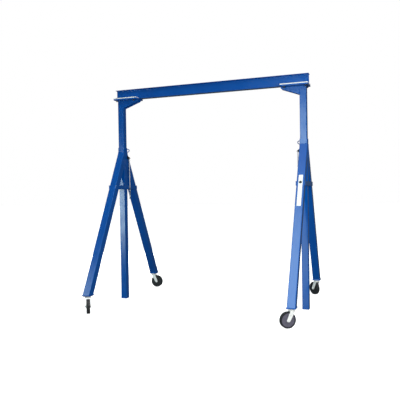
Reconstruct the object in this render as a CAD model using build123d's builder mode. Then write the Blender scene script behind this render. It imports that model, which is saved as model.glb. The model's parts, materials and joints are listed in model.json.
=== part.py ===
"""Portable gantry crane: an I-beam on two telescoping uprights, each held in an A-frame on casters.

Millimetres, +Z up, +X along the beam, -Y is the front. The origin is on the floor, under the beam's middle.
"""

import os
from math import atan, cos, radians, sin, sqrt

from build123d import *

# ---- driving dimensions -------------------------------------------------------------------------
# I-beam, a wide-flange section
BEAM_LENGTH = 3048.0
BEAM_DEPTH = 153.2
BEAM_FLANGE = 101.6
BEAM_FLANGE_THICKNESS = 7.1
BEAM_WEB = 5.8
BEAM_ROOT_RADIUS = 6.35

# telescoping uprights, square tube
UPRIGHT_SIZE = 95.25
UPRIGHT_WALL = 4.76
UPRIGHT_LENGTH = 3149.6
UPRIGHT_FLOOR_GAP = 3.0
TUBE_CORNER = 6.0
TUBE_INNER_CORNER = 2.0

# saddle on the top of each upright, clamped to the beam's lower flange
SADDLE_LENGTH = 394.0
SADDLE_OVERHANG = 82.0
SADDLE_WIDTH = 240.0
SADDLE_THICKNESS = 12.7
GUSSET_THICKNESS = 9.5
GUSSET_DROP = 122.0
GUSSET_TIP_HEIGHT = 26.0
GUSSET_TIP_RADIUS = 16.0
CLAMP_BAR_WIDTH = 88.9
CLAMP_BAR_THICKNESS = 12.7
CLAMP_BOLT = 15.875
CLAMP_BOLT_FROM_FLANGE = 25.2
CLAMP_BOLT_INNER_MARGIN = 60.0
CLAMP_BOLT_OUTER_MARGIN = 34.0
CLAMP_HEAD_WIDTH = 23.8
CLAMP_HEAD_HEIGHT = 10.0
CLAMP_NUT_HEIGHT = 14.0
CLAMP_TAIL = 8.0
PACKER_FROM_FLANGE = 9.2

# sleeve around each upright, and the legs welded to its front and back
SLEEVE_TOP = 2406.0
SLEEVE_LENGTH = 660.0
SLEEVE_WALL = 5.85
LEG_TOP_DROP = 71.0
LEG_WALL = 4.76
BASE_SPREAD = 2172.0
BRACE_HEIGHT = 60.0
BRACE_THICKNESS = 9.5
FOOT_PLATE_SIDE_MARGIN = 6.35
FOOT_PLATE_END_MARGIN = 12.7
FOOT_PLATE_THICKNESS = 12.7

# height lock: cross holes, a loose pin on a chain, and a lifting eye
PIN_DIAMETER = 19.05
PIN_LENGTH = 184.0
PIN_CHAMFER = 3.0
HOLE_PITCH = 152.4
HOLE_STEPS = 10
SLEEVE_HOLE_DROP = 36.0
FITTINGS_INSET = 14.8
EYE_ROD = 12.0
EYE_RADIUS = 22.0
EYE_REACH = 46.0
EYE_DROP = 43.0
LUG_THICKNESS = 6.0
LUG_HEIGHT = 56.0
LUG_REACH = 42.0
LUG_TIP_RADIUS = 14.0
LUG_DROP = 125.0
LUG_HOLE_RADIUS = 6.0
CHAIN_WIRE = 5.0
CHAIN_LINKS = 20
LINK_BEND = 6.5
LINK_STRAIGHT = 14.0
RING_RADIUS = 18.0
RING_WIRE = 4.0
PIN_EYE_RADIUS = 5.2
PIN_EYE_INSET = 10.0

# swivel casters
WHEEL_DIAMETER = 203.2
WHEEL_WIDTH = 50.8
WHEEL_EDGE_RADIUS = 6.0
WHEEL_RIM = 16.0
WHEEL_HUB_RADIUS = 30.0
WHEEL_HUB_STAND_OUT = 2.1
WHEEL_RECESS = 9.0
CASTER_TRAIL = 57.0
FORK_THICKNESS = 6.35
FORK_SIDE_GAP = 1.5
FORK_TOP_GAP = 5.8
FORK_END_RADIUS = 22.0
FORK_TOP_LENGTH = 60.0
FORK_HOLE_RADIUS = 4.5
CROWN_THICKNESS = 6.0
RACE_RADIUS = 42.0
FORK_RACE_HEIGHT = 12.7
PLATE_RACE_HEIGHT = 6.95
CASTER_PLATE_WIDTH = 101.6
CASTER_PLATE_DEPTH = 114.3
CASTER_PLATE_THICKNESS = 6.35
CASTER_BOLT = 9.525
CASTER_BOLT_X = 66.7
CASTER_BOLT_Y = 92.0
CASTER_HEAD_WIDTH = 14.3
CASTER_HEAD_HEIGHT = 6.4
KINGPIN_RADIUS = 8.0
KINGPIN_HEAD_RADIUS = 14.0
KINGPIN_HEAD_HEIGHT = 5.0
AXLE_DIAMETER = 12.7
AXLE_HEAD_WIDTH = 19.0
AXLE_HEAD_HEIGHT = 8.0
AXLE_NUT_HEIGHT = 11.0
AXLE_TAIL = 2.0
BUSH_RADIUS = 9.525
BEARING_RADIUS = 15.9

# label on the right front leg
LABEL_WIDTH = 57.0
LABEL_LENGTH = 470.0
LABEL_THICKNESS = 0.8
LABEL_FROM_SLEEVE_TOP = 514.0

# clearances
TELESCOPE_CLEARANCE = 0.5
BEAM_FIT = 0.1
BOLT_CLEARANCE = 0.3
RUNNING_FIT = 0.05
SWIVEL_GAP = 0.3
PIN_CLEARANCE = 0.8
LINK_GAP = 0.2

# where each caster stands, and the angle its wheel trails at
CASTERS = {
    "front_left": (-1, -1, 303.0),
    "rear_left": (-1, 1, 0.0),
    "front_right": (1, -1, 215.0),
    "rear_right": (1, 1, 136.0),
}

# ---- derived places -----------------------------------------------------------------------------
WHEEL_RADIUS = WHEEL_DIAMETER / 2
WHEEL_HUB_LENGTH = WHEEL_WIDTH + 2 * WHEEL_HUB_STAND_OUT
CROWN_BOTTOM = WHEEL_DIAMETER + FORK_TOP_GAP
CROWN_TOP = CROWN_BOTTOM + CROWN_THICKNESS
FORK_RACE_TOP = CROWN_TOP + FORK_RACE_HEIGHT
PLATE_RACE_BOTTOM = FORK_RACE_TOP + SWIVEL_GAP
CASTER_PLATE_BOTTOM = PLATE_RACE_BOTTOM + PLATE_RACE_HEIGHT
CASTER_TOP = CASTER_PLATE_BOTTOM + CASTER_PLATE_THICKNESS
FOOT_TOP = CASTER_TOP + FOOT_PLATE_THICKNESS
FORK_INSIDE = WHEEL_HUB_LENGTH / 2 + FORK_SIDE_GAP
FORK_OUTSIDE = FORK_INSIDE + FORK_THICKNESS

SADDLE_BOTTOM = UPRIGHT_FLOOR_GAP + UPRIGHT_LENGTH
SADDLE_TOP = SADDLE_BOTTOM + SADDLE_THICKNESS
BEAM_BOTTOM = SADDLE_TOP + BEAM_FIT
BEAM_TOP = BEAM_BOTTOM + BEAM_DEPTH
CLAMP_BOTTOM = BEAM_BOTTOM + BEAM_FLANGE_THICKNESS + BEAM_FIT
CLAMP_TOP = CLAMP_BOTTOM + CLAMP_BAR_THICKNESS
CLAMP_BOLT_Y = BEAM_FLANGE / 2 + CLAMP_BOLT_FROM_FLANGE
PACKER_WIDTH = SADDLE_WIDTH / 2 - BEAM_FLANGE / 2 - PACKER_FROM_FLANGE

UPRIGHT_X = BEAM_LENGTH / 2 - SADDLE_OVERHANG
SLEEVE_SIZE = UPRIGHT_SIZE + 2 * (TELESCOPE_CLEARANCE + SLEEVE_WALL)
SLEEVE_HALF = SLEEVE_SIZE / 2
SLEEVE_BOTTOM = SLEEVE_TOP - SLEEVE_LENGTH
FITTINGS_Y = SLEEVE_HALF - FITTINGS_INSET
LEG_SIZE = SLEEVE_SIZE
LEG_TOP = SLEEVE_TOP - LEG_TOP_DROP
FOOT_Y = BASE_SPREAD / 2
SADDLE_OUTER_X = UPRIGHT_X + SADDLE_OVERHANG
SADDLE_CENTRE_X = SADDLE_OUTER_X - SADDLE_LENGTH / 2
SADDLE_INNER_X = SADDLE_OUTER_X - SADDLE_LENGTH


def leg_slope():
    """Run of a leg's outer face for each millimetre of drop, with the leg centred on its foot plate."""
    run = FOOT_Y - SLEEVE_HALF
    drop = LEG_TOP - FOOT_TOP
    half = LEG_SIZE / 2
    return (run * drop + half * sqrt(run**2 + drop**2 - half**2)) / (drop**2 - half**2)


LEG_SLOPE = leg_slope()
LEG_ANGLE = atan(LEG_SLOPE)
FOOT_PLATE_WIDTH = LEG_SIZE + 2 * FOOT_PLATE_SIDE_MARGIN
FOOT_PLATE_DEPTH = LEG_SIZE + 2 * FOOT_PLATE_END_MARGIN


def leg_outer_y(height):
    """Distance of the legs' outer faces from the sleeve's middle at a height."""
    return SLEEVE_HALF + (LEG_TOP - height) * LEG_SLOPE


def save(builder, label):
    """Label a finished piece and write it to its own file."""
    builder.part.label = label
    export_step(builder.part, f"parts/{label}.step")


# ---- beam ---------------------------------------------------------------------------------------
def make_beam():
    with BuildPart() as beam:
        with BuildSketch(Plane.YZ.offset(-BEAM_LENGTH / 2)):
            with Locations((0, (BEAM_BOTTOM + BEAM_TOP) / 2)):
                Rectangle(BEAM_WEB, BEAM_DEPTH)
            for height in (BEAM_BOTTOM, BEAM_TOP - BEAM_FLANGE_THICKNESS):
                with Locations((0, height + BEAM_FLANGE_THICKNESS / 2)):
                    Rectangle(BEAM_FLANGE, BEAM_FLANGE_THICKNESS)
        extrude(amount=BEAM_LENGTH)
        roots = beam.edges().filter_by(Axis.X).filter_by(
            lambda edge: abs(abs(edge.center().Y) - BEAM_WEB / 2) < 0.01
        )
        fillet(roots, radius=BEAM_ROOT_RADIUS)
    save(beam, "i_beam")


# ---- mast: upright, saddle, gussets and clamps --------------------------------------------------
def make_upright(side, sign):
    with BuildPart() as upright:
        with BuildSketch(Plane((sign * UPRIGHT_X, 0, UPRIGHT_FLOOR_GAP))):
            RectangleRounded(UPRIGHT_SIZE, UPRIGHT_SIZE, TUBE_CORNER)
            inside = UPRIGHT_SIZE - 2 * UPRIGHT_WALL
            RectangleRounded(inside, inside, TUBE_INNER_CORNER, mode=Mode.SUBTRACT)
        extrude(amount=UPRIGHT_LENGTH)
        top_hole = SLEEVE_TOP - SLEEVE_HOLE_DROP
        with BuildSketch(Plane.YZ.offset(sign * UPRIGHT_X)):
            with Locations([(0, top_hole - step * HOLE_PITCH) for step in range(HOLE_STEPS + 1)]):
                Circle(PIN_DIAMETER / 2 + PIN_CLEARANCE)
        extrude(amount=UPRIGHT_SIZE, both=True, mode=Mode.SUBTRACT)
    save(upright, f"{side}_upright")


def clamp_bolt_places(sign):
    """The four clamp bolts of one saddle."""
    inner = SADDLE_INNER_X + CLAMP_BOLT_INNER_MARGIN
    outer = SADDLE_OUTER_X - CLAMP_BOLT_OUTER_MARGIN
    return [(sign * x, y) for x in (inner, outer) for y in (-CLAMP_BOLT_Y, CLAMP_BOLT_Y)]


def make_saddle(side, sign):
    hole = CLAMP_BOLT / 2 + BOLT_CLEARANCE
    with BuildPart() as saddle:
        with BuildSketch(Plane.XY.offset(SADDLE_BOTTOM)):
            with Locations((sign * SADDLE_CENTRE_X, 0)):
                Rectangle(SADDLE_LENGTH, SADDLE_WIDTH)
            with Locations(clamp_bolt_places(sign)):
                Circle(hole, mode=Mode.SUBTRACT)
        extrude(amount=SADDLE_THICKNESS)
    save(saddle, f"{side}_saddle_plate")

    packer_y = SADDLE_WIDTH / 2 - PACKER_WIDTH / 2
    with BuildPart() as packers:
        with BuildSketch(Plane.XY.offset(SADDLE_TOP)):
            with Locations([(sign * SADDLE_CENTRE_X, y) for y in (-packer_y, packer_y)]):
                Rectangle(SADDLE_LENGTH, PACKER_WIDTH)
            with Locations(clamp_bolt_places(sign)):
                Circle(hole, mode=Mode.SUBTRACT)
        extrude(amount=CLAMP_BOTTOM - SADDLE_TOP)
    save(packers, f"{side}_packers")

    bar_y = SADDLE_WIDTH / 2 - CLAMP_BAR_WIDTH / 2
    with BuildPart() as bars:
        with BuildSketch(Plane.XY.offset(CLAMP_BOTTOM)):
            with Locations([(sign * SADDLE_CENTRE_X, y) for y in (-bar_y, bar_y)]):
                Rectangle(SADDLE_LENGTH, CLAMP_BAR_WIDTH)
            with Locations(clamp_bolt_places(sign)):
                Circle(hole, mode=Mode.SUBTRACT)
        extrude(amount=CLAMP_BAR_THICKNESS)
    save(bars, f"{side}_clamp_bars")


def make_clamp_bolts(side, sign):
    places = clamp_bolt_places(sign)
    nut_bottom = SADDLE_BOTTOM - CLAMP_NUT_HEIGHT
    with BuildPart() as bolts:
        with BuildSketch(Plane.XY.offset(CLAMP_TOP)):
            with Locations(places):
                RegularPolygon(CLAMP_HEAD_WIDTH / 2, 6, major_radius=False)
        extrude(amount=CLAMP_HEAD_HEIGHT)
        with BuildSketch(Plane.XY.offset(nut_bottom)):
            with Locations(places):
                RegularPolygon(CLAMP_HEAD_WIDTH / 2, 6, major_radius=False)
        extrude(amount=CLAMP_NUT_HEIGHT)
        with BuildSketch(Plane.XY.offset(nut_bottom - CLAMP_TAIL)):
            with Locations(places):
                Circle(CLAMP_BOLT / 2)
        extrude(amount=CLAMP_TOP - nut_bottom + CLAMP_TAIL)
    save(bolts, f"{side}_clamp_bolts")


def make_gussets(side, sign):
    """Two triangular plates, flush with the upright's front and back faces."""
    face = UPRIGHT_X - UPRIGHT_SIZE / 2
    with BuildPart() as gussets:
        for plane_y in (-UPRIGHT_SIZE / 2 + GUSSET_THICKNESS, UPRIGHT_SIZE / 2):
            with BuildSketch(Plane.XZ.offset(-plane_y)) as web:
                with BuildLine():
                    Polyline(
                        (sign * face, SADDLE_BOTTOM),
                        (sign * SADDLE_INNER_X, SADDLE_BOTTOM),
                        (sign * SADDLE_INNER_X, SADDLE_BOTTOM - GUSSET_TIP_HEIGHT),
                        (sign * face, SADDLE_BOTTOM - GUSSET_DROP),
                        close=True,
                    )
                make_face()
                inner_end = web.vertices().filter_by(lambda v: abs(abs(v.X) - SADDLE_INNER_X) < 0.01)
                fillet(inner_end.sort_by(Axis.Y)[0], radius=GUSSET_TIP_RADIUS)
            extrude(amount=GUSSET_THICKNESS)
    save(gussets, f"{side}_gussets")


# ---- A-frame: sleeve, legs, braces, foot plates -------------------------------------------------
def make_sleeve(side, sign):
    with BuildPart() as sleeve:
        with BuildSketch(Plane((sign * UPRIGHT_X, 0, SLEEVE_BOTTOM))):
            RectangleRounded(SLEEVE_SIZE, SLEEVE_SIZE, TUBE_CORNER)
            inside = SLEEVE_SIZE - 2 * SLEEVE_WALL
            RectangleRounded(inside, inside, TUBE_INNER_CORNER, mode=Mode.SUBTRACT)
        extrude(amount=SLEEVE_LENGTH)
        with BuildSketch(Plane.YZ.offset(sign * UPRIGHT_X)):
            with Locations((0, SLEEVE_TOP - SLEEVE_HOLE_DROP)):
                Circle(PIN_DIAMETER / 2 + PIN_CLEARANCE)
        extrude(amount=SLEEVE_SIZE, both=True, mode=Mode.SUBTRACT)
    save(sleeve, f"{side}_sleeve")


def make_leg(side, sign, end, facing):
    """One leg, cut level on its foot plate and upright against the sleeve."""
    up = (0, -facing * sin(LEG_ANGLE), cos(LEG_ANGLE))
    overrun = 2 * LEG_SIZE
    length = (LEG_TOP - FOOT_TOP) / cos(LEG_ANGLE) + 2 * overrun
    start = Plane(origin=(sign * UPRIGHT_X, facing * FOOT_Y, FOOT_TOP), x_dir=(1, 0, 0), z_dir=up)
    sleeve_face = Plane(origin=(0, facing * SLEEVE_HALF, 0), z_dir=(0, facing, 0))
    with BuildPart() as leg:
        with BuildSketch(start.offset(-overrun)):
            RectangleRounded(LEG_SIZE, LEG_SIZE, TUBE_CORNER)
            inside = LEG_SIZE - 2 * LEG_WALL
            RectangleRounded(inside, inside, TUBE_INNER_CORNER, mode=Mode.SUBTRACT)
        extrude(amount=length)
        split(bisect_by=Plane.XY.offset(FOOT_TOP), keep=Keep.TOP)
        split(bisect_by=sleeve_face, keep=Keep.TOP)
    save(leg, f"{side}_{end}_leg")


def make_braces(side, sign):
    """Flat bars across the sleeve's foot, lapped on both sides of both legs."""
    length = 2 * leg_outer_y(SLEEVE_BOTTOM + BRACE_HEIGHT / 2)
    middle = SLEEVE_HALF + BRACE_THICKNESS / 2
    with BuildPart() as braces:
        with BuildSketch(Plane.XY.offset(SLEEVE_BOTTOM)):
            with Locations([(sign * UPRIGHT_X + x, 0) for x in (-middle, middle)]):
                Rectangle(BRACE_THICKNESS, length)
        extrude(amount=BRACE_HEIGHT)
    save(braces, f"{side}_braces")


def caster_bolt_offsets():
    return [(x, y) for x in (-CASTER_BOLT_X / 2, CASTER_BOLT_X / 2) for y in (-CASTER_BOLT_Y / 2, CASTER_BOLT_Y / 2)]


def side_bolt_places(sign):
    """The eight caster bolts of one A-frame."""
    return [
        (sign * UPRIGHT_X + x, facing * FOOT_Y + y) for facing in (-1, 1) for x, y in caster_bolt_offsets()
    ]


def make_foot_plates(side, sign):
    with BuildPart() as plates:
        with BuildSketch(Plane.XY.offset(CASTER_TOP)):
            with Locations([(sign * UPRIGHT_X, y) for y in (-FOOT_Y, FOOT_Y)]):
                Rectangle(FOOT_PLATE_WIDTH, FOOT_PLATE_DEPTH)
            with Locations(side_bolt_places(sign)):
                Circle(CASTER_BOLT / 2 + RUNNING_FIT, mode=Mode.SUBTRACT)
        extrude(amount=FOOT_PLATE_THICKNESS)
    save(plates, f"{side}_foot_plates")


def make_caster_bolts(side, sign):
    places = side_bolt_places(sign)
    with BuildPart() as bolts:
        with BuildSketch(Plane.XY.offset(CASTER_PLATE_BOTTOM - CASTER_HEAD_HEIGHT)):
            with Locations(places):
                RegularPolygon(CASTER_HEAD_WIDTH / 2, 6, major_radius=False)
        extrude(amount=CASTER_HEAD_HEIGHT)
        with BuildSketch(Plane.XY.offset(CASTER_PLATE_BOTTOM)):
            with Locations(places):
                Circle(CASTER_BOLT / 2)
        extrude(amount=CASTER_PLATE_THICKNESS + FOOT_PLATE_THICKNESS - BOLT_CLEARANCE)
    save(bolts, f"{side}_caster_bolts")


def make_label():
    """Plain strip on the outer face of the right front leg."""
    normal = (0, -cos(LEG_ANGLE), sin(LEG_ANGLE))
    height = SLEEVE_TOP - LABEL_FROM_SLEEVE_TOP
    top = Plane(origin=(UPRIGHT_X, -leg_outer_y(height), height), x_dir=(1, 0, 0), z_dir=normal)
    with BuildPart() as label:
        with BuildSketch(top):
            with Locations((0, -LABEL_LENGTH / 2)):
                Rectangle(LABEL_WIDTH, LABEL_LENGTH)
        extrude(amount=LABEL_THICKNESS)
    save(label, "label")


# ---- height lock --------------------------------------------------------------------------------
def inner_face_x(sign):
    return sign * (UPRIGHT_X - SLEEVE_HALF)


def make_lifting_eye(side, sign):
    """Round bar bent to a U, its two ends welded to the sleeve's inner face."""
    height = SLEEVE_TOP - EYE_DROP
    face = inner_face_x(sign)
    straight = EYE_REACH - EYE_ROD / 2 - EYE_RADIUS
    bend = face - sign * straight
    tip = bend - sign * EYE_RADIUS
    with BuildPart() as eye:
        with BuildLine(Plane.XZ.offset(-FITTINGS_Y)):
            Line((face, height + EYE_RADIUS), (bend, height + EYE_RADIUS))
            ThreePointArc((bend, height + EYE_RADIUS), (tip, height), (bend, height - EYE_RADIUS))
            Line((bend, height - EYE_RADIUS), (face, height - EYE_RADIUS))
        start = Plane(origin=(face, FITTINGS_Y, height + EYE_RADIUS), z_dir=(-sign, 0, 0))
        with BuildSketch(start):
            Circle(EYE_ROD / 2)
        sweep()
    save(eye, f"{side}_lifting_eye")


def lug_hole(sign):
    """Centre of the chain lug's hole."""
    height = SLEEVE_TOP - LUG_DROP - LUG_HEIGHT + LUG_TIP_RADIUS
    return inner_face_x(sign) - sign * LUG_REACH, height


def make_chain_lug(side, sign):
    face = inner_face_x(sign)
    hole_x, hole_z = lug_hole(sign)
    root_z = SLEEVE_TOP - LUG_DROP - LUG_HEIGHT / 2
    with BuildPart() as lug:
        with BuildSketch(Plane.XZ.offset(-FITTINGS_Y - LUG_THICKNESS / 2)):
            with Locations((face - sign * LUG_THICKNESS / 2, root_z)):
                Rectangle(LUG_THICKNESS, LUG_HEIGHT)
            with Locations((hole_x, hole_z)):
                Circle(LUG_TIP_RADIUS)
            make_hull()
            with Locations((hole_x, hole_z)):
                Circle(LUG_HOLE_RADIUS, mode=Mode.SUBTRACT)
        extrude(amount=LUG_THICKNESS)
    save(lug, f"{side}_chain_lug")


def crown_drop(bend, half_width):
    """How far a bent wire's inside falls away from its crown at a distance to the side."""
    return bend - sqrt(bend**2 - half_width**2)


LINK_PITCH = LINK_STRAIGHT + 2 * LINK_BEND - CHAIN_WIRE - LINK_GAP
LUG_DROP_OFF = crown_drop(LINK_BEND - CHAIN_WIRE / 2, LUG_THICKNESS / 2)
WIRE_SEAT = LUG_HOLE_RADIUS - CHAIN_WIRE / 2 - LUG_DROP_OFF - LINK_GAP


def chain_top(sign):
    """Crown of the first link, where it hangs in the lug's hole."""
    hole_x, hole_z = lug_hole(sign)
    return hole_x, hole_z - WIRE_SEAT


def make_pin_chain(side, sign):
    x, top = chain_top(sign)
    first = top - LINK_BEND - LINK_STRAIGHT / 2
    half = LINK_STRAIGHT / 2
    with BuildPart() as chain:
        for number in range(CHAIN_LINKS):
            middle = (x, FITTINGS_Y, first - number * LINK_PITCH)
            across = (0, 1, 0) if number % 2 == 0 else (1, 0, 0)
            normal = (1, 0, 0) if number % 2 == 0 else (0, -1, 0)
            link = Plane(origin=middle, x_dir=across, z_dir=normal)
            with BuildLine(link):
                Line((LINK_BEND, -half), (LINK_BEND, half))
                ThreePointArc((LINK_BEND, half), (0, half + LINK_BEND), (-LINK_BEND, half))
                Line((-LINK_BEND, half), (-LINK_BEND, -half))
                ThreePointArc((-LINK_BEND, -half), (0, -half - LINK_BEND), (LINK_BEND, -half))
            foot = link.from_local_coords(Vector(LINK_BEND, 0, 0))
            with BuildSketch(Plane(origin=foot, z_dir=(0, 0, 1))):
                Circle(CHAIN_WIRE / 2)
            sweep()
    save(chain, f"{side}_pin_chain")


def ring_centre(sign):
    """Centre of the ring that joins the chain's last link to the pin."""
    x, top = chain_top(sign)
    last_crown = top - 2 * LINK_BEND - LINK_STRAIGHT - (CHAIN_LINKS - 1) * LINK_PITCH
    seat = (CHAIN_WIRE + RING_WIRE) / 2 + LINK_GAP
    return x, last_crown + seat - RING_RADIUS


def make_pin_ring(side, sign):
    x, height = ring_centre(sign)
    with BuildPart() as ring:
        with Locations((x, FITTINGS_Y, height)):
            Torus(RING_RADIUS, RING_WIRE / 2, rotation=(0, 90, 0))
    save(ring, f"{side}_pin_ring")


def make_locking_pin(side, sign):
    x, height = ring_centre(sign)
    rise = crown_drop(RING_RADIUS - RING_WIRE / 2, PIN_DIAMETER / 2)
    seat = PIN_EYE_RADIUS - RING_WIRE / 2 - rise - LINK_GAP
    hole_z = height - RING_RADIUS - seat
    top = hole_z + PIN_EYE_INSET
    with BuildPart() as pin:
        with BuildSketch(Plane((x, FITTINGS_Y, top - PIN_LENGTH))):
            Circle(PIN_DIAMETER / 2)
        extrude(amount=PIN_LENGTH)
        chamfer(pin.edges().sort_by(Axis.Z)[0], length=PIN_CHAMFER)
        chamfer(pin.edges().sort_by(Axis.Z)[-1], length=PIN_CHAMFER / 2)
        with BuildSketch(Plane.XZ.offset(-FITTINGS_Y)):
            with Locations((x, hole_z)):
                Circle(PIN_EYE_RADIUS)
        extrude(amount=PIN_DIAMETER, both=True, mode=Mode.SUBTRACT)
    save(pin, f"{side}_locking_pin")


# ---- casters ------------------------------------------------------------------------------------
def caster_planes(sign, facing, angle):
    """Planes at a caster's swivel axis: flat, with X along the trail, and upright through the trail."""
    along = (cos(radians(angle)), sin(radians(angle)), 0)
    across = (sin(radians(angle)), -cos(radians(angle)), 0)
    place = (sign * UPRIGHT_X, facing * FOOT_Y, 0)
    return Plane(origin=place, x_dir=along, z_dir=(0, 0, 1)), Plane(origin=place, x_dir=along, z_dir=across)


def make_caster_plate(name, sign, facing):
    place = (sign * UPRIGHT_X, facing * FOOT_Y)
    bore = KINGPIN_RADIUS + RUNNING_FIT
    with BuildPart() as plate:
        with BuildSketch(Plane.XY.offset(CASTER_PLATE_BOTTOM)):
            with Locations(place):
                Rectangle(CASTER_PLATE_WIDTH, CASTER_PLATE_DEPTH)
        extrude(amount=CASTER_PLATE_THICKNESS)
        fillet(plate.edges().filter_by(Axis.Z), radius=TUBE_CORNER)
        with BuildSketch(Plane.XY.offset(PLATE_RACE_BOTTOM)):
            with Locations(place):
                Circle(RACE_RADIUS)
        extrude(amount=PLATE_RACE_HEIGHT)
        with BuildSketch(Plane.XY.offset(PLATE_RACE_BOTTOM)):
            with Locations(place):
                Circle(bore)
            with Locations([(place[0] + x, place[1] + y) for x, y in caster_bolt_offsets()]):
                Circle(CASTER_BOLT / 2 + RUNNING_FIT)
        extrude(amount=PLATE_RACE_HEIGHT + CASTER_PLATE_THICKNESS, mode=Mode.SUBTRACT)
    save(plate, f"{name}_caster_plate")


def make_kingpin(name, sign, facing):
    head_bottom = CROWN_BOTTOM - SWIVEL_GAP - KINGPIN_HEAD_HEIGHT
    place = (sign * UPRIGHT_X, facing * FOOT_Y)
    with BuildPart() as kingpin:
        with BuildSketch(Plane.XY.offset(head_bottom)):
            with Locations(place):
                Circle(KINGPIN_HEAD_RADIUS)
        extrude(amount=KINGPIN_HEAD_HEIGHT)
        fillet(kingpin.edges().sort_by(Axis.Z)[0], radius=KINGPIN_HEAD_HEIGHT / 2)
        with BuildSketch(Plane.XY.offset(head_bottom)):
            with Locations(place):
                Circle(KINGPIN_RADIUS)
        extrude(amount=CASTER_TOP - head_bottom)
    save(kingpin, f"{name}_kingpin")


def make_fork(name, sign, facing, angle):
    flat, upright = caster_planes(sign, facing, angle)
    with BuildPart() as fork:
        for offset in (FORK_INSIDE, -FORK_OUTSIDE):
            with BuildSketch(upright.offset(offset)):
                with Locations((CASTER_TRAIL, WHEEL_RADIUS)):
                    Circle(FORK_END_RADIUS)
                with Locations((0, CROWN_TOP - CROWN_THICKNESS / 2)):
                    Rectangle(FORK_TOP_LENGTH, CROWN_THICKNESS)
                make_hull()
            extrude(amount=FORK_THICKNESS)
        with BuildSketch(flat.offset(CROWN_BOTTOM)):
            Rectangle(FORK_TOP_LENGTH, 2 * FORK_OUTSIDE)
        extrude(amount=CROWN_THICKNESS)
        corners = fork.edges().filter_by(
            lambda edge: abs(edge.center().Z - CROWN_TOP) < 0.01
            and abs(upright.to_local_coords(edge.center()).Z) > FORK_OUTSIDE - 0.01
        )
        fillet(corners, radius=CROWN_THICKNESS * 0.8)
        with BuildSketch(flat.offset(CROWN_BOTTOM)):
            Circle(RACE_RADIUS)
        extrude(amount=CROWN_THICKNESS + FORK_RACE_HEIGHT)
        with BuildSketch(flat.offset(CROWN_BOTTOM)):
            Circle(KINGPIN_RADIUS + RUNNING_FIT)
        extrude(amount=CROWN_THICKNESS + FORK_RACE_HEIGHT, mode=Mode.SUBTRACT)
        with BuildSketch(upright):
            with Locations((CASTER_TRAIL, WHEEL_RADIUS)):
                Circle(AXLE_DIAMETER / 2 + RUNNING_FIT)
            with Locations((CASTER_TRAIL / 2, (WHEEL_RADIUS + CROWN_BOTTOM) / 2)):
                Circle(FORK_HOLE_RADIUS)
        extrude(amount=FORK_OUTSIDE, both=True, mode=Mode.SUBTRACT)
    save(fork, f"{name}_fork")


def make_wheel(name, sign, facing, angle):
    """Moulded wheel with a recessed web on each side of its hub."""
    upright = caster_planes(sign, facing, angle)[1]
    axle = Plane(
        origin=upright.from_local_coords(Vector(CASTER_TRAIL, WHEEL_RADIUS, 0)),
        x_dir=upright.x_dir,
        z_dir=upright.z_dir,
    )
    rim_inside = WHEEL_RADIUS - WHEEL_RIM
    with BuildPart() as wheel:
        with BuildSketch(axle):
            Circle(WHEEL_RADIUS)
        extrude(amount=WHEEL_WIDTH / 2, both=True)
        fillet(wheel.edges(), radius=WHEEL_EDGE_RADIUS)
        for direction in (1, -1):
            floor = WHEEL_WIDTH / 2 - WHEEL_RECESS
            with BuildSketch(axle.offset(direction * floor)):
                Circle(rim_inside)
            extrude(amount=direction * 2 * WHEEL_RECESS, mode=Mode.SUBTRACT)
        with BuildSketch(axle):
            Circle(WHEEL_HUB_RADIUS)
        extrude(amount=WHEEL_HUB_LENGTH / 2, both=True)
        with BuildSketch(axle):
            Circle(BEARING_RADIUS + RUNNING_FIT)
        extrude(amount=WHEEL_HUB_LENGTH, both=True, mode=Mode.SUBTRACT)
    save(wheel, f"{name}_wheel")

    with BuildPart() as bearing:
        with BuildSketch(axle):
            Circle(BEARING_RADIUS)
            Circle(BUSH_RADIUS + RUNNING_FIT, mode=Mode.SUBTRACT)
        extrude(amount=WHEEL_HUB_LENGTH / 2, both=True)
    save(bearing, f"{name}_wheel_bearing")


def make_axle(name, sign, facing, angle):
    """Bolt and nut through the fork, with a spacer bush for the bearing to run on."""
    upright = caster_planes(sign, facing, angle)[1]
    axle = Plane(
        origin=upright.from_local_coords(Vector(CASTER_TRAIL, WHEEL_RADIUS, 0)),
        x_dir=upright.x_dir,
        z_dir=upright.z_dir,
    )
    with BuildPart() as parts:
        with BuildSketch(axle):
            Circle(BUSH_RADIUS)
            Circle(AXLE_DIAMETER / 2 + RUNNING_FIT, mode=Mode.SUBTRACT)
        extrude(amount=FORK_INSIDE - BEAM_FIT, both=True)
        with BuildSketch(axle.offset(-FORK_OUTSIDE - AXLE_HEAD_HEIGHT)):
            RegularPolygon(AXLE_HEAD_WIDTH / 2, 6, major_radius=False)
        extrude(amount=AXLE_HEAD_HEIGHT)
        with BuildSketch(axle.offset(FORK_OUTSIDE)):
            RegularPolygon(AXLE_HEAD_WIDTH / 2, 6, major_radius=False)
        extrude(amount=AXLE_NUT_HEIGHT)
        with BuildSketch(axle.offset(-FORK_OUTSIDE)):
            Circle(AXLE_DIAMETER / 2)
        extrude(amount=2 * FORK_OUTSIDE + AXLE_NUT_HEIGHT + AXLE_TAIL)
    save(parts, f"{name}_axle")


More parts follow.
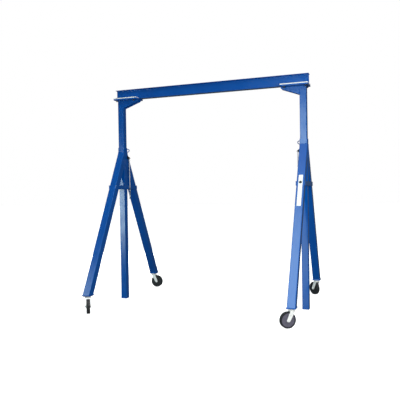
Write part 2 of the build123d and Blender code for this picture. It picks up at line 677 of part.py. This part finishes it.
def main():
    os.makedirs("parts", exist_ok=True)
    make_beam()
    for side, sign in (("left", -1), ("right", 1)):
        make_upright(side, sign)
        make_saddle(side, sign)
        make_clamp_bolts(side, sign)
        make_gussets(side, sign)
        make_sleeve(side, sign)
        for end, facing in (("front", -1), ("rear", 1)):
            make_leg(side, sign, end, facing)
        make_braces(side, sign)
        make_foot_plates(side, sign)
        make_caster_bolts(side, sign)
        make_lifting_eye(side, sign)
        make_chain_lug(side, sign)
        make_pin_chain(side, sign)
        make_pin_ring(side, sign)
        make_locking_pin(side, sign)
    make_label()
    for name, (sign, facing, angle) in CASTERS.items():
        make_caster_plate(name, sign, facing)
        make_kingpin(name, sign, facing)
        make_fork(name, sign, facing, angle)
        make_wheel(name, sign, facing, angle)
        make_axle(name, sign, facing, angle)


main()
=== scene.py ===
import json
import math

import bmesh
import bpy
from mathutils import Matrix, Vector


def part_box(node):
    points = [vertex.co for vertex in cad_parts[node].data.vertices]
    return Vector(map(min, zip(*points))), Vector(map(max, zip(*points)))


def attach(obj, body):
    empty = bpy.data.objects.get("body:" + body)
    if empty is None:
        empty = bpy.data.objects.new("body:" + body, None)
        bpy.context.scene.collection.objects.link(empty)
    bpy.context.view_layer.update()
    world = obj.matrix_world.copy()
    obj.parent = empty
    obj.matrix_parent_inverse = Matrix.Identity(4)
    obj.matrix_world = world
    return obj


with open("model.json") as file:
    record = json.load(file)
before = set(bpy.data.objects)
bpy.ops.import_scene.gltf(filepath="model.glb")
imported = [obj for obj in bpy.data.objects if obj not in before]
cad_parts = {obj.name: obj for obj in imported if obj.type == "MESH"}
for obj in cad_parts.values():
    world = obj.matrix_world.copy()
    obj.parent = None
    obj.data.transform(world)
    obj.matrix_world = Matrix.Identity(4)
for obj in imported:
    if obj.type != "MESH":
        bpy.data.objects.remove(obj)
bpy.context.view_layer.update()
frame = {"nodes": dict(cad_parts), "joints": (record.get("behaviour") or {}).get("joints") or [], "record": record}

nodes = frame["nodes"]
scene = bpy.context.scene
SIDES = {"left": -1, "right": 1}
CASTERS = ("front_left", "front_right", "rear_left", "rear_right")


# ---- camera -----------------------------------------------------------------
CAMERA_PLACE = (2.6417, -7.4653, 1.6631)
CAMERA_TURN = (20.41, -0.74, -0.90)  # degrees: left of +Y, up from level, and roll
CAMERA_LENS = 47.27  # millimetres


def make_camera():
    yaw, pitch, roll = (math.radians(a) for a in CAMERA_TURN)
    flat = math.cos(pitch)
    ahead = Vector((-math.sin(yaw) * flat, math.cos(yaw) * flat, math.sin(pitch)))
    level = Vector((math.cos(yaw), math.sin(yaw), 0))
    upward = level.cross(ahead)
    right = level * math.cos(roll) + upward * math.sin(roll)
    up = -level * math.sin(roll) + upward * math.cos(roll)
    data = bpy.data.cameras.new("camera")
    data.sensor_width = 36.0
    data.lens = CAMERA_LENS
    data.clip_end = 400.0
    camera = bpy.data.objects.new("camera", data)
    turn = Matrix((right, up, -ahead)).transposed()
    camera.matrix_world = Matrix.Translation(CAMERA_PLACE) @ turn.to_4x4()
    scene.collection.objects.link(camera)
    scene.camera = camera


# ---- floor and light --------------------------------------------------------
def area_light(name, place, target, size, power):
    data = bpy.data.lights.new(name, "AREA")
    data.shape = "RECTANGLE"
    data.size, data.size_y = size
    data.energy = power
    light = bpy.data.objects.new(name, data)
    light.location = place
    aim = Vector(target) - Vector(place)
    light.rotation_euler = aim.to_track_quat("-Z", "Y").to_euler()
    scene.collection.objects.link(light)
    return light


FLOOR_HALF = 60.0
FLOOR_GLOW = 0.75
SKY_POWER = 0.9
SKY_ANGLE = 70.0
# A large soft panel at the front right, and its equal behind the crane.
PANEL_PLACE = (4.2, -6.2, 2.6)
PANEL_TARGET = (0.0, 0.0, 1.4)
PANEL_SIZE = (3.5, 3.5)
PANEL_POWER = 440.0
ROOM_LIGHT = 0.10
# Each softbox: the way to it, the angles in degrees inside which it is full
# and outside which it is gone, and its strength.
SOFTBOXES = (
    ((-0.16, -0.98, 0.11), 1.2, 4.6, 8.0),
    ((-0.16, -0.98, -0.10), 4.0, 8.0, 2.6),
    ((-0.48, -0.877, -0.02), 2.2, 5.2, 11.0),
    ((-0.18, -0.70, 0.69), 4.0, 14.0, 5.6),
    ((-0.53, -0.66, 0.53), 2.0, 7.0, 6.0),
)


def make_stage():
    mesh = bpy.data.meshes.new("floor")
    half = FLOOR_HALF
    corners = [(-half, -half, 0), (half, -half, 0), (half, half, 0), (-half, half, 0)]
    mesh.from_pydata(corners, [], [(0, 1, 2, 3)])
    floor = bpy.data.objects.new("floor", mesh)
    scene.collection.objects.link(floor)
    material = bpy.data.materials.new("floor")
    material.use_nodes = True
    shader = material.node_tree.nodes["Principled BSDF"]
    shader.inputs["Base Color"].default_value = (0.9, 0.9, 0.9, 1)
    shader.inputs["Roughness"].default_value = 0.9
    shader.inputs["Specular IOR Level"].default_value = 0.1
    shader.inputs["Emission Color"].default_value = (1, 1, 1, 1)
    shader.inputs["Emission Strength"].default_value = FLOOR_GLOW
    mesh.materials.append(material)
    floor.visible_glossy = False
    floor.visible_diffuse = False

    world = bpy.data.worlds.new("studio")
    scene.world = world
    world.use_nodes = True
    tree = world.node_tree
    tree.nodes.clear()
    out = tree.nodes.new("ShaderNodeOutputWorld")
    mix = tree.nodes.new("ShaderNodeMixShader")
    path = tree.nodes.new("ShaderNodeLightPath")
    backdrop = tree.nodes.new("ShaderNodeBackground")
    backdrop.inputs["Color"].default_value = (1, 1, 1, 1)
    backdrop.inputs["Strength"].default_value = 1.0
    room = tree.nodes.new("ShaderNodeBackground")
    room.inputs["Color"].default_value = (0.76, 1.0, 1.0, 1)
    direction = tree.nodes.new("ShaderNodeTexCoord").outputs["Generated"]
    total = ROOM_LIGHT
    for towards, inner, outer, strength in SOFTBOXES:
        dot = tree.nodes.new("ShaderNodeVectorMath")
        dot.operation = "DOT_PRODUCT"
        tree.links.new(direction, dot.inputs[0])
        dot.inputs[1].default_value = Vector(towards).normalized()
        fade = tree.nodes.new("ShaderNodeMapRange")
        fade.interpolation_type = "SMOOTHSTEP"
        tree.links.new(dot.outputs["Value"], fade.inputs["Value"])
        fade.inputs["From Min"].default_value = math.cos(math.radians(outer))
        fade.inputs["From Max"].default_value = math.cos(math.radians(inner))
        fade.inputs["To Max"].default_value = strength
        add = tree.nodes.new("ShaderNodeMath")
        tree.links.new(fade.outputs[0], add.inputs[0])
        if isinstance(total, float):
            add.inputs[1].default_value = total
        else:
            tree.links.new(total, add.inputs[1])
        total = add.outputs[0]
    tree.links.new(total, room.inputs["Strength"])
    tree.links.new(path.outputs["Is Camera Ray"], mix.inputs["Fac"])
    tree.links.new(room.outputs[0], mix.inputs[1])
    tree.links.new(backdrop.outputs[0], mix.inputs[2])
    tree.links.new(mix.outputs[0], out.inputs["Surface"])

    sky = bpy.data.lights.new("sky", "SUN")
    sky.energy = SKY_POWER
    sky.angle = math.radians(SKY_ANGLE)
    high = bpy.data.objects.new("sky", sky)
    scene.collection.objects.link(high)
    x, y, z = PANEL_PLACE
    for name, place in (("fill", (x, y, z)), ("back", (-x, -y, z))):
        light = area_light(name, place, PANEL_TARGET, PANEL_SIZE, PANEL_POWER)
        light.visible_glossy = False
    scene.view_settings.view_transform = "Standard"


make_camera()
make_stage()


# ---- materials --------------------------------------------------------------
class Tree:
    """A few short calls for building a node material."""

    def __init__(self, name):
        self.material = bpy.data.materials.new(name)
        self.material.use_nodes = True
        self.nodes = self.material.node_tree.nodes
        self.links = self.material.node_tree.links
        self.shader = self.nodes["Principled BSDF"]
        self.place = self.add("ShaderNodeTexCoord").outputs["Object"]

    def add(self, kind, **values):
        node = self.nodes.new(kind)
        for key, value in values.items():
            setattr(node, key, value)
        return node

    def put(self, value, socket):
        if isinstance(value, (int, float, tuple)):
            socket.default_value = value
        else:
            self.links.new(value, socket)

    def noise(self, scale, detail=4.0, rough=0.5, stretch=None):
        node = self.add("ShaderNodeTexNoise")
        node.inputs["Scale"].default_value = scale
        node.inputs["Detail"].default_value = detail
        node.inputs["Roughness"].default_value = rough
        source = self.place
        if stretch:
            mapping = self.add("ShaderNodeMapping")
            mapping.inputs["Scale"].default_value = stretch
            self.links.new(source, mapping.inputs["Vector"])
            source = mapping.outputs[0]
        self.links.new(source, node.inputs["Vector"])
        return node.outputs["Fac"]

    def math(self, operation, a, b):
        node = self.add("ShaderNodeMath", operation=operation)
        for value, socket in zip((a, b), node.inputs):
            self.put(value, socket)
        return node.outputs[0]

    def ramp(self, value, low, high, to_low=0.0, to_high=1.0):
        node = self.add("ShaderNodeMapRange")
        keys = ("Value", "From Min", "From Max", "To Min", "To Max")
        for v, key in zip((value, low, high, to_low, to_high), keys):
            self.put(v, node.inputs[key])
        return node.outputs[0]

    def mix(self, amount, a, b):
        node = self.add("ShaderNodeMix", data_type="RGBA")
        self.put(amount, node.inputs[0])
        self.put(a, node.inputs[6])
        self.put(b, node.inputs[7])
        return node.outputs[2]

    def bump(self, height, strength, distance, normal=None):
        node = self.add("ShaderNodeBump")
        node.inputs["Strength"].default_value = strength
        node.inputs["Distance"].default_value = distance
        self.links.new(height, node.inputs["Height"])
        if normal:
            self.links.new(normal, node.inputs["Normal"])
        return node.outputs[0]

    def edges(self, radius):
        """1 on edges, 0 on flats."""
        bevel = self.add("ShaderNodeBevel", samples=4)
        bevel.inputs["Radius"].default_value = radius
        flat = self.add("ShaderNodeNewGeometry").outputs["Normal"]
        dot = self.add("ShaderNodeVectorMath", operation="DOT_PRODUCT")
        self.links.new(bevel.outputs[0], dot.inputs[0])
        self.links.new(flat, dot.inputs[1])
        return self.ramp(dot.outputs["Value"], 0.97, 0.80)


def paint(name, colour, rough=0.14, wear=0.35):
    """Enamel: slow patches of tone, faint specks, orange peel, uneven gloss and worn edges."""
    tree = Tree(name)
    r, g, b = colour
    patches = tree.noise(1.6, 3.0)
    deep = (r * 0.86, g * 0.90, b * 0.92, 1)
    light = (r * 1.15, g * 1.08, b * 1.06, 1)
    base = tree.mix(tree.ramp(patches, 0.3, 0.7), deep, light)
    specks = tree.ramp(tree.noise(70.0, 5.0, 0.7), 0.66, 0.74)
    base = tree.mix(tree.math("MULTIPLY", specks, 0.12), base, (r + 0.02, g + 0.05, b + 0.08, 1))
    chips = tree.ramp(tree.noise(22.0, 5.0, 0.7), 0.46, 0.68)
    worn = tree.math("MULTIPLY", tree.edges(0.0025), chips)
    worn = tree.math("MULTIPLY", worn, wear)
    tree.links.new(tree.mix(worn, base, (0.20, 0.27, 0.42, 1)), tree.shader.inputs["Base Color"])
    gloss = tree.ramp(tree.noise(5.0, 6.0, 0.65), 0.3, 0.7, rough - 0.03, rough + 0.05)
    gloss = tree.math("ADD", gloss, tree.math("MULTIPLY", worn, 0.3))
    tree.links.new(gloss, tree.shader.inputs["Roughness"])
    waves = tree.bump(tree.noise(9.0, 2.0), 0.10, 0.004)
    peel = tree.bump(tree.noise(420.0, 2.0), 0.12, 0.0004, waves)
    tree.links.new(peel, tree.shader.inputs["Normal"])
    return tree.material


def plated(name, light, dark, rough, metallic=1.0, streak=(1, 1, 1)):
    """Zinc or bright plating with cloudy patches, grime, fine scratches and brighter edges."""
    tree = Tree(name)
    clouds = tree.ramp(tree.noise(14.0, 5.0, 0.6), 0.32, 0.68)
    base = tree.mix(clouds, light + (1,), dark + (1,))
    grime = tree.ramp(tree.noise(60.0, 5.0, 0.7), 0.62, 0.75)
    base = tree.mix(tree.math("MULTIPLY", grime, 0.35), base, (0.20, 0.19, 0.17, 1))
    worn = tree.math("MULTIPLY", tree.edges(0.0012), 0.4)
    base = tree.mix(worn, base, tuple(min(1.0, v * 1.12) for v in light) + (1,))
    tree.links.new(base, tree.shader.inputs["Base Color"])
    tree.shader.inputs["Metallic"].default_value = metallic
    scratches = tree.noise(160.0, 3.0, 0.6, streak)
    gloss = tree.ramp(scratches, 0.3, 0.7, rough - 0.07, rough + 0.10)
    tree.links.new(gloss, tree.shader.inputs["Roughness"])
    tree.links.new(tree.bump(scratches, 0.10, 0.0003), tree.shader.inputs["Normal"])
    return tree.material


# Distances from the axle between which the web turns to tread, and dust begins.
WEB_EDGE = (0.082, 0.0865)
DUST_EDGE = (0.098, 0.1016)
TREAD_COLOUR = (0.016, 0.016, 0.019)
WEB_COLOUR = (0.030, 0.030, 0.032)
# A paler copy of the web colour, used on the front-right wheel only: painted light.
LIT_WEB_COLOUR = (0.135, 0.125, 0.165)


def wheel_material(name, caster, tread, web):
    """Moulded wheel: nearly black tread, greyer recessed web, and dust near the rim."""
    tree = Tree(name)
    low, high = (Vector(v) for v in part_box(f"{caster}_wheel_bearing"))
    centre = (low + high) / 2
    wheel = next(joint for joint in frame["joints"] if joint["name"] == f"{caster}_roll")
    axle = Vector(wheel["axis"]).normalized()
    offset = tree.add("ShaderNodeVectorMath", operation="SUBTRACT")
    tree.links.new(tree.place, offset.inputs[0])
    offset.inputs[1].default_value = centre
    across = tree.add("ShaderNodeVectorMath", operation="CROSS_PRODUCT")
    tree.links.new(offset.outputs[0], across.inputs[0])
    across.inputs[1].default_value = axle
    reach = tree.add("ShaderNodeVectorMath", operation="LENGTH")
    tree.links.new(across.outputs[0], reach.inputs[0])
    radius = reach.outputs["Value"]
    cloudy = tree.ramp(tree.noise(26.0, 6.0, 0.65), 0.3, 0.7)
    web_colour = tree.mix(cloudy, web + (1,), tuple(v * 0.72 for v in web) + (1,))
    tread_colour = tree.mix(cloudy, tread + (1,), tuple(v * 1.5 for v in tread) + (1,))
    base = tree.mix(tree.ramp(radius, *WEB_EDGE), web_colour, tread_colour)
    specks = tree.ramp(tree.noise(90.0, 4.0, 0.7), 0.45, 0.65)
    dust = tree.math("MULTIPLY", tree.ramp(radius, *DUST_EDGE), specks)
    base = tree.mix(tree.math("MULTIPLY", dust, 0.45), base, (0.16, 0.15, 0.14, 1))
    tree.links.new(base, tree.shader.inputs["Base Color"])
    gloss = tree.ramp(tree.noise(48.0, 5.0, 0.6), 0.3, 0.7, 0.42, 0.66)
    tree.links.new(gloss, tree.shader.inputs["Roughness"])
    grain = tree.bump(tree.noise(300.0, 4.0, 0.6), 0.25, 0.0006)
    tree.links.new(grain, tree.shader.inputs["Normal"])
    return tree.material


def film(name, colour, rough):
    """Printed film or ink: faint mottling and fine grain."""
    tree = Tree(name)
    mottle = tree.ramp(tree.noise(40.0, 4.0), 0.3, 0.7)
    base = tree.mix(mottle, colour + (1,), tuple(v * 0.93 for v in colour) + (1,))
    tree.links.new(base, tree.shader.inputs["Base Color"])
    gloss = tree.ramp(tree.noise(120.0, 3.0), 0.3, 0.7, rough - 0.05, rough + 0.05)
    tree.links.new(gloss, tree.shader.inputs["Roughness"])
    tree.links.new(tree.bump(tree.noise(500.0, 2.0), 0.08, 0.0002), tree.shader.inputs["Normal"])
    return tree.material


# One blue enamel in three copies: the beam's is darker and the frames' lighter than the masts' blue, painted shade
# up high and painted light low down.
BEAM_BLUE_SHADED = (0.001, 0.074, 0.345)
MAST_BLUE = (0.001, 0.078, 0.36)
FRAME_BLUE_LIT = (0.001, 0.080, 0.37)
PIN_STREAK = (1, 1, 0.08)
looks = {
    "beam_paint": paint("beam_enamel_shaded", BEAM_BLUE_SHADED),
    "mast_paint": paint("mast_enamel", MAST_BLUE),
    "frame_paint": paint("frame_enamel_lit", FRAME_BLUE_LIT),
    # Near-black enamel for the dark_steel parts is painted shade: it stands in for parts that look black because
    # they sit in shadow.
    "dark_steel": paint("dark_steel_painted_shade", (0.006, 0.007, 0.010), 0.45),
    "zinc": plated("zinc_plate", (1.0, 0.99, 0.97), (0.90, 0.89, 0.87), 0.34, 0.12),
    "chain_steel": plated("chain_plate", (0.95, 0.95, 0.95), (0.74, 0.74, 0.76), 0.32, 0.2),
    "bright_steel": plated("pin_plate", (0.88, 0.88, 0.86), (0.70, 0.70, 0.70), 0.24, 0.9, PIN_STREAK),
    "bearing": plated("bearing_steel", (0.50, 0.50, 0.50), (0.30, 0.30, 0.31), 0.35),
    "label": film("label_film", (0.88, 0.88, 0.86), 0.45),
}


def dress(obj, material):
    obj.data.materials.clear()
    obj.data.materials.append(material)


slot_of = {row["node"]: row["material_slot"] for row in frame["record"]["subparts"]}
for node, obj in nodes.items():
    if slot_of[node] in looks:
        dress(obj, looks[slot_of[node]])
# The clamp bolts are zinc, given a darkened copy of the zinc colour: painted shade.
shaded_bolt_zinc = plated("bolt_zinc_painted_shade", (0.16, 0.17, 0.19), (0.08, 0.085, 0.10), 0.42, 0.8)
for side in SIDES:
    dress(nodes[f"{side}_clamp_bolts"], shaded_bolt_zinc)
for caster in CASTERS:
    # The front-right wheel's web gets the paler copy of the web colour: painted light.
    web = LIT_WEB_COLOUR if caster == "front_right" else WEB_COLOUR
    dress(nodes[f"{caster}_wheel"], wheel_material(f"{caster}_tread", caster, TREAD_COLOUR, web))


# ---- weld beads and the label's dot -------------------------------------------
BEAD_STEP = 0.0025
BEAD_PITCH = 0.0075
BEAD_SIDES = 6
# Bead radii, by seam.
HEAVY_BEAD = 0.0035
SIDE_BEAD = 0.0028
BRACE_BEAD = 0.0022
SADDLE_BEAD = 0.0032
GUSSET_BEAD = 0.0030
END_BEAD = 0.6
TUBE_CORNER = 0.006
DOT_RADIUS = 0.020
DOT_DROP = 0.113
DOT_SIDES = 48
DOT_COLOUR = (0.012, 0.014, 0.022)
LABEL_THICKNESS = 0.0008


def bead(mesh, start, end, radius):
    """A rippled round bead along a straight seam."""
    run = end - start
    side = run.orthogonal().normalized()
    up = run.normalized().cross(side)
    count = max(2, round(run.length / BEAD_STEP))
    rings = []
    for i in range(count + 1):
        along = run.length * i / count
        ripple = 0.86 + 0.14 * abs(math.cos(math.pi * along / BEAD_PITCH))
        size = radius * ripple * (END_BEAD if i in (0, count) else 1.0)
        turns = (2 * math.pi * k / BEAD_SIDES for k in range(BEAD_SIDES))
        around = [size * (side * math.cos(t) + up * math.sin(t)) for t in turns]
        centre = start + run * i / count
        rings.append([mesh.verts.new(centre + offset) for offset in around])
    for near, far in zip(rings, rings[1:]):
        for k in range(BEAD_SIDES):
            mesh.faces.new((near[k], near[k - 1], far[k - 1], far[k]))
    mesh.faces.new(rings[0])
    mesh.faces.new(reversed(rings[-1]))


def loop(mesh, corners, radius):
    for a, b in zip(corners, corners[1:] + corners[:1]):
        bead(mesh, Vector(a), Vector(b), radius)


def welded(name, body, material, seams):
    """One piece that holds a body's beads. seams is a function that adds them to a mesh."""
    mesh = bmesh.new()
    seams(mesh)
    bmesh.ops.recalc_face_normals(mesh, faces=mesh.faces)
    data = bpy.data.meshes.new(name)
    mesh.to_mesh(data)
    mesh.free()
    for face in data.polygons:
        face.use_smooth = True
    data.materials.append(material)
    piece = bpy.data.objects.new(name, data)
    scene.collection.objects.link(piece)
    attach(piece, body)


def leg_shape(side):
    """Lean of the front leg's outer face, and its thickness measured level."""
    low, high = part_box(f"{side}_front_leg")
    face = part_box(f"{side}_sleeve")[0][1]
    lean = (face - low[1]) / (high[2] - low[2])
    return lean, (high[0] - low[0]) * math.hypot(1, lean)


def frame_seams(side):
    def seams(mesh):
        low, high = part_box(f"{side}_sleeve")
        lean, level = leg_shape(side)
        for facing in (-1, 1):
            leg_low, leg_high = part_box(f"{side}_{'front' if facing < 0 else 'rear'}_leg")
            face = facing * high[1]
            top = leg_high[2]
            foot = max(abs(leg_low[1]), abs(leg_high[1]))
            split = top - level / lean
            start = Vector((low[0] + TUBE_CORNER, face, top))
            bead(mesh, start, Vector((high[0] - TUBE_CORNER, face, top)), HEAVY_BEAD)
            for x in (low[0], high[0]):
                bead(mesh, Vector((x, face, top)), Vector((x, face, split)), SIDE_BEAD)
            near, far = facing * (foot - level), facing * foot
            outline = ((low[0], near), (high[0], near), (high[0], far), (low[0], far))
            loop(mesh, [(x, y, leg_low[2]) for x, y in outline], HEAVY_BEAD)
        brace_low, brace_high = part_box(f"{side}_braces")
        for x in (low[0], high[0]):
            for z in (brace_low[2], brace_high[2]):
                bead(mesh, Vector((x, low[1], z)), Vector((x, high[1], z)), BRACE_BEAD)
    return seams


def mast_seams(side):
    def seams(mesh):
        low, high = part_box(f"{side}_upright")
        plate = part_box(f"{side}_saddle_plate")[0][2]
        gusset_low, gusset_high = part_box(f"{side}_gussets")
        inner = low[0] if SIDES[side] > 0 else high[0]
        tip = gusset_low[0] if SIDES[side] > 0 else gusset_high[0]
        outline = ((low[0], low[1]), (high[0], low[1]), (high[0], high[1]), (low[0], high[1]))
        loop(mesh, [(x, y, plate) for x, y in outline], SADDLE_BEAD)
        for y in (gusset_low[1], gusset_high[1]):
            bead(mesh, Vector((inner, y, gusset_low[2])), Vector((inner, y, plate)), GUSSET_BEAD)
            bead(mesh, Vector((inner, y, plate)), Vector((tip, y, plate)), GUSSET_BEAD)
    return seams


for side in SIDES:
    blue = looks["frame_paint"]
    welded(f"{side}_frame_welds", f"{side}_a_frame", blue, frame_seams(side))
    blue = looks["mast_paint"]
    welded(f"{side}_mast_welds", f"{side}_mast", blue, mast_seams(side))


def label_dot():
    """Plain dark dot near the strip's top, slightly domed like a thick printed spot."""
    low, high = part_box("label")
    lean, _ = leg_shape("right")
    slope = math.atan(lean)
    out = Vector((0, -math.cos(slope), math.sin(slope)))
    down = Vector((0, -math.sin(slope), -math.cos(slope)))
    across = Vector((1, 0, 0))
    middle = (low[0] + high[0]) / 2
    rise = out * LABEL_THICKNESS
    top = Vector((middle, high[1] + rise[1], high[2] - rise[2]))
    centre = top + down * DOT_DROP + rise
    mesh = bmesh.new()
    rings = []
    for share, height in ((1.0, -0.0002), (0.985, 0.00025), (0.75, 0.00040)):
        radius = DOT_RADIUS * share
        turns = (2 * math.pi * k / DOT_SIDES for k in range(DOT_SIDES))
        around = [radius * (across * math.cos(t) + down * math.sin(t)) for t in turns]
        rings.append([mesh.verts.new(centre + out * height + offset) for offset in around])
    for near, far in zip(rings, rings[1:]):
        for k in range(DOT_SIDES):
            mesh.faces.new((near[k], near[k - 1], far[k - 1], far[k]))
    mesh.faces.new(rings[-1])
    bmesh.ops.recalc_face_normals(mesh, faces=mesh.faces)
    data = bpy.data.meshes.new("label_dot")
    mesh.to_mesh(data)
    mesh.free()
    data.materials.append(film("dot_ink", DOT_COLOUR, 0.5))
    dot = bpy.data.objects.new("label_dot", data)
    scene.collection.objects.link(dot)
    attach(dot, "right_a_frame")


label_dot()
